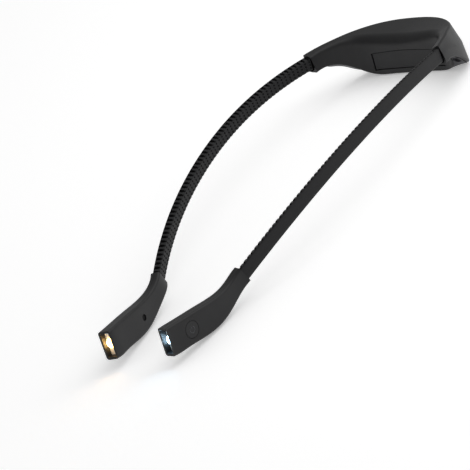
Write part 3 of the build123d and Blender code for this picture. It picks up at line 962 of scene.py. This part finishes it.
@dataclass(frozen=True)
class LampHead:
    """One lamp head: casing halves, lamp, button with its raised sign, and closing screw.

    Attributes:
        side: the side of the light.
        glow: the colour of its lamp.
        button_middle: a point on the left button's axis.
        button_facing: the way the left button faces.
        button_share: the button's width as a share of its solid's.
        sign_radius: radius of the sign's open ring.
        sign_width: width of the sign's ridges.
        sign_rise: height of the sign's ridges.
        sign_opening: half of the ring's opening at the top, in degrees.
        bar_foot: height of the sign's bar over the middle, at its foot.
        bar_length: length of the bar.
    """

    side: Side
    glow: Glow
    button_middle: tuple[float, float, float] = (27.589, -328.283, 13.327)
    button_facing: tuple[float, float, float] = (0.989776, -0.142629, 0.0)
    button_share: float = 0.962
    sign_radius: float = 2.1
    sign_width: float = 0.5
    sign_rise: float = 0.12
    sign_opening: float = 38.0
    bar_foot: float = 0.3
    bar_length: float = 2.2

    def button_axes(self) -> tuple[np.ndarray, np.ndarray, np.ndarray, np.ndarray]:
        """Places the button on this side's head.

        Returns:
            Its middle in millimetres, its facing, and directions along the head and up.
        """
        mirror = np.array([self.side.sign, 1.0, 1.0])
        facing = np.array(self.button_facing) * mirror
        up = np.array([0.0, 0.0, 1.0])
        return np.array(self.button_middle) * mirror, facing, np.cross(up, facing), up

    def narrower(self, points: np.ndarray) -> np.ndarray:
        """Draws the button in towards its axis by one share, so that its round gap shows.

        Args:
            points: the button's vertices in millimetres.

        Returns:
            Their new places.
        """
        middle, facing, _, _ = self.button_axes()
        away = points - middle
        along = (away @ facing)[:, None] * facing
        return middle + along + self.button_share * (away - along)

    def stroke(
        self, path: np.ndarray, name: str, finish: bpy.types.Material, lift: float
    ) -> bpy.types.Object:
        """Carries a low rounded ridge along a flat path on the button's face.

        Point(row, column) = path(row) + width * cos(turn) * side + rise * sin(turn) * facing,
        and both ends taper to a point, so the ridge is closed.

        Args:
            path: points along and up from the button's middle, in millimetres.
            name: the piece's name.
            finish: the material.
            lift: height of the button's face over its middle.

        Returns:
            The ridge, which rides on the button.
        """
        middle, facing, along, up = self.button_axes()
        run = np.gradient(path, axis=0)
        run /= np.linalg.norm(run, axis=1)[:, None]
        side = np.stack([-run[:, 1], run[:, 0]], axis=1)
        turn = np.radians(np.arange(0.0, 360.0, 30.0))
        # The first and last rows nearly close, and the ones beside them are a little narrower
        full = np.ones(len(path))
        full[[0, -1]] = 0.02
        full[[1, -2]] = 0.75
        wide = (full * self.sign_width / 2)[:, None] * np.cos(turn)
        flat = path[:, None, :] + wide[..., None] * side[:, None, :]
        high = lift + self.sign_rise * full[:, None] * np.sin(turn)
        points = middle + flat[..., :1] * along + flat[..., 1:] * up + high[..., None] * facing
        rows, columns = high.shape
        faces = ring_faces(rows, columns, False, True)
        piece = put_mesh(name, points.reshape(-1, 3), faces, finish)
        closed = bmesh.new()
        closed.from_mesh(piece.data)
        bmesh.ops.holes_fill(closed, edges=closed.edges, sides=0)
        bmesh.ops.recalc_face_normals(closed, faces=closed.faces)
        closed.to_mesh(piece.data)
        closed.free()
        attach(piece, f"{self.side.value}_button_cap")
        return piece

    def build_button(self, button: bpy.types.Material, glyph: bpy.types.Material) -> None:
        """Builds the button with its raised on and off sign, an open ring and a bar.

        Args:
            button: finish of the button.
            glyph: finish of its sign.
        """
        label = self.side.value
        cap = trimmed_copy(f"{label}_button_cap_face", f"{label}_button", self.narrower, button)
        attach(cap, f"{label}_button_cap")
        points = np.empty(len(cap.data.vertices) * 3, dtype=np.float32)
        cap.data.vertices.foreach_get("co", points)
        middle, facing, _, _ = self.button_axes()
        lift = float(((points.reshape(-1, 3) / MM - middle) @ facing).max())
        turn = np.radians(np.linspace(90.0 + self.sign_opening, 450.0 - self.sign_opening, 37))
        ring = self.sign_radius * np.stack([np.cos(turn), np.sin(turn)], axis=1)
        self.stroke(ring, f"{label}_button_ring", glyph, lift)
        rise = np.linspace(self.bar_foot, self.bar_foot + self.bar_length, 9)
        bar = np.stack([np.zeros(len(rise)), rise], axis=1)
        self.stroke(bar, f"{label}_button_bar", glyph, lift)
        LOG.info("%s button: face %.2f mm over its plane", label, lift)

    def build(self, finishes: HeadFinishes) -> None:
        """Dresses the head's nodes and builds its button.

        Args:
            finishes: the materials that both heads share.
        """
        label = self.side.value
        dress(finishes.shell, f"{label}_head_outer_half", f"{label}_head_inner_half")
        self.build_button(finishes.button, finishes.glyph)
        dress(finishes.steel, f"{label}_head_screw")
        dress(finishes.board, f"{label}_switch_board", f"{label}_lamp_board")
        dress(finishes.switch, f"{label}_dome_switch")
        dress(finishes.cup, f"{label}_reflector")
        lens = LitAcrylic(f"acrylic_moulded_lens_{self.glow.name.lower()}", self.glow, 0.7)
        dress(lens.make(), f"{label}_lens")
        lamp = LitAcrylic(f"phosphor_gel_cast_{self.glow.name.lower()}", self.glow, 0.0, 0.3)
        dress(lamp.make(), f"{label}_emitter")
        LOG.info("%s head dressed", label)


@dataclass(frozen=True)
class SoftBox:
    """A soft square light, which the camera doesn't see. Metres and watts."""

    name: str
    place: tuple[float, float, float]
    aim: tuple[float, float, float]
    size: float
    power: float

    def hang(self) -> None:
        """Hangs the light at its place, level, and turns it to face its aim."""
        data = bpy.data.lights.new(self.name, "AREA")
        data.shape = "SQUARE"
        data.size = self.size
        data.energy = self.power
        lamp = bpy.data.objects.new(self.name, data)
        bpy.context.scene.collection.objects.link(lamp)
        lamp.visible_camera = False
        back = np.array(self.place) - np.array(self.aim)
        back /= np.linalg.norm(back)
        right = np.cross([0.0, 0.0, 1.0], back)
        right /= np.linalg.norm(right)
        turn = np.eye(4)
        turn[:3, :3] = np.array([right, np.cross(back, right), back]).T
        turn[:3, 3] = self.place
        lamp.matrix_world = Matrix(turn.tolist())


@dataclass(frozen=True)
class Studio:
    """A plain white floor, soft lights and the camera at the photograph's angle. Metres.

    Attributes:
        right: the camera's right-hand side.
        up: the camera's upward side.
        back: the way from the target to the camera.
        target: the point in the middle of the picture.
        view_width: width that the picture shows at the target.
        distance: distance from the target to the camera.
        sensor_mm: width of the camera's sensor in millimetres.
        floor_half: half the floor's side.
        floor_height: height of the floor, a little under the light.
        floor_glow: light that the paper gives off, so that it comes out white.
        air_light: strength of the even light from all round.
        boxes: the lights.
    """

    right: tuple[float, float, float] = (0.7493, 0.5221, -0.4073)
    up: tuple[float, float, float] = (0.0453, 0.5733, 0.8181)
    back: tuple[float, float, float] = (0.6606, -0.6315, 0.4059)
    target: tuple[float, float, float] = (0.00359, -0.23095, 0.01973)
    view_width: float = 0.3009
    distance: float = 12.6
    sensor_mm: float = 36.0
    floor_half: float = 3.0
    floor_height: float = -0.0006
    floor_glow: float = 0.30
    air_light: float = 0.48
    boxes: tuple[SoftBox, ...] = (
        SoftBox("softbox_over", (0.4, 0.4, 0.9), (0.0, -0.17, 0.0), 1.2, 5.6),
        SoftBox("softbox_front", (0.9, -1.0, 0.55), (0.0, -0.2, 0.02), 0.8, 0.4),
        SoftBox("softbox_side", (1.0, 0.6, 0.5), (0.0, -0.2, 0.02), 0.7, 1.2),
    )

    def lay_floor(self) -> None:
        """Lays the white paper that the light lies on."""
        corner = np.array([[-1.0, -1.0], [1.0, -1.0], [1.0, 1.0], [-1.0, 1.0]]) * self.floor_half
        corner = np.column_stack([corner, np.full(4, self.floor_height)])
        mesh = bpy.data.meshes.new("studio_floor")
        mesh.from_pydata(corner.tolist(), [], [(0, 1, 2, 3)])
        paper, _, _ = blank(
            "studio_paper_white", Base_Color=linear("#FCFCFC"), Roughness=0.9,
            Emission_Color=linear("#FFFFFF"), Emission_Strength=self.floor_glow,
        )
        mesh.materials.append(paper)
        floor = bpy.data.objects.new("studio_floor", mesh)
        bpy.context.scene.collection.objects.link(floor)

    def fill_air(self) -> None:
        """Sets the even light that comes from all round."""
        world = bpy.data.worlds.new("studio_air")
        world.use_nodes = True
        sockets = world.node_tree.nodes["Background"].inputs
        sockets["Color"].default_value = linear("#FFFFFF")
        sockets["Strength"].default_value = self.air_light
        bpy.context.scene.world = world

    def set_camera(self) -> None:
        """Sets up the camera, whose long lens frames view_width at the target."""
        data = bpy.data.cameras.new("photo_camera")
        data.sensor_width = self.sensor_mm
        data.lens = self.sensor_mm * self.distance / self.view_width
        data.clip_start = 1.0
        data.clip_end = 200.0
        camera = bpy.data.objects.new("photo_camera", data)
        bpy.context.scene.collection.objects.link(camera)
        # The three directions are rounded, so they are squared up before they are used
        rough = np.array([self.right, self.up, self.back]).T
        axes, _ = np.linalg.qr(rough)
        axes = axes * np.sign(np.sum(axes * rough, axis=0))
        place = np.eye(4)
        place[:3, :3] = axes
        place[:3, 3] = np.array(self.target) + axes[:, 2] * self.distance
        camera.matrix_world = Matrix(place.tolist())
        bpy.context.scene.camera = camera

    def build(self) -> None:
        """Sets out the floor, the lights and the camera."""
        bpy.context.scene.view_settings.view_transform = "Standard"
        self.lay_floor()
        self.fill_air()
        for box in self.boxes:
            box.hang()
        self.set_camera()
        LOG.info("studio set: %d soft lights", len(self.boxes))


def main() -> None:
    """Builds the light piece by piece and sets the studio."""
    logging.basicConfig(level=logging.INFO, format="%(message)s")
    shell, steel, board = SHELL_PLASTIC.make(), SCREW_STEEL.make(), LAMINATE.make()
    # The flange's finish is painted shade: near-black for the shadowed gap at the housing's mouth
    rubber, shade_finish, core = RUBBER.make(), FLANGE_PAINTED_SHADE.make(), CORE_METAL.make()
    finishes = HeadFinishes(
        shell, BUTTON_PLASTIC.make(), GLYPH_PLASTIC.make(), steel, board,
        SWITCH_METAL.make(), WHITE_CUP.make(),
    )
    NeckHousing().build()
    dress(steel, "housing_screws")
    dress(board, "control_board")
    for side, glow in ((Side.LEFT, Glow.COOL), (Side.RIGHT, Glow.WARM)):
        FlexibleArm(side).build(rubber, shade_finish, core)
        LampHead(side, glow).build(finishes)
    Studio().build()


if __name__ == "__main__":
    main()
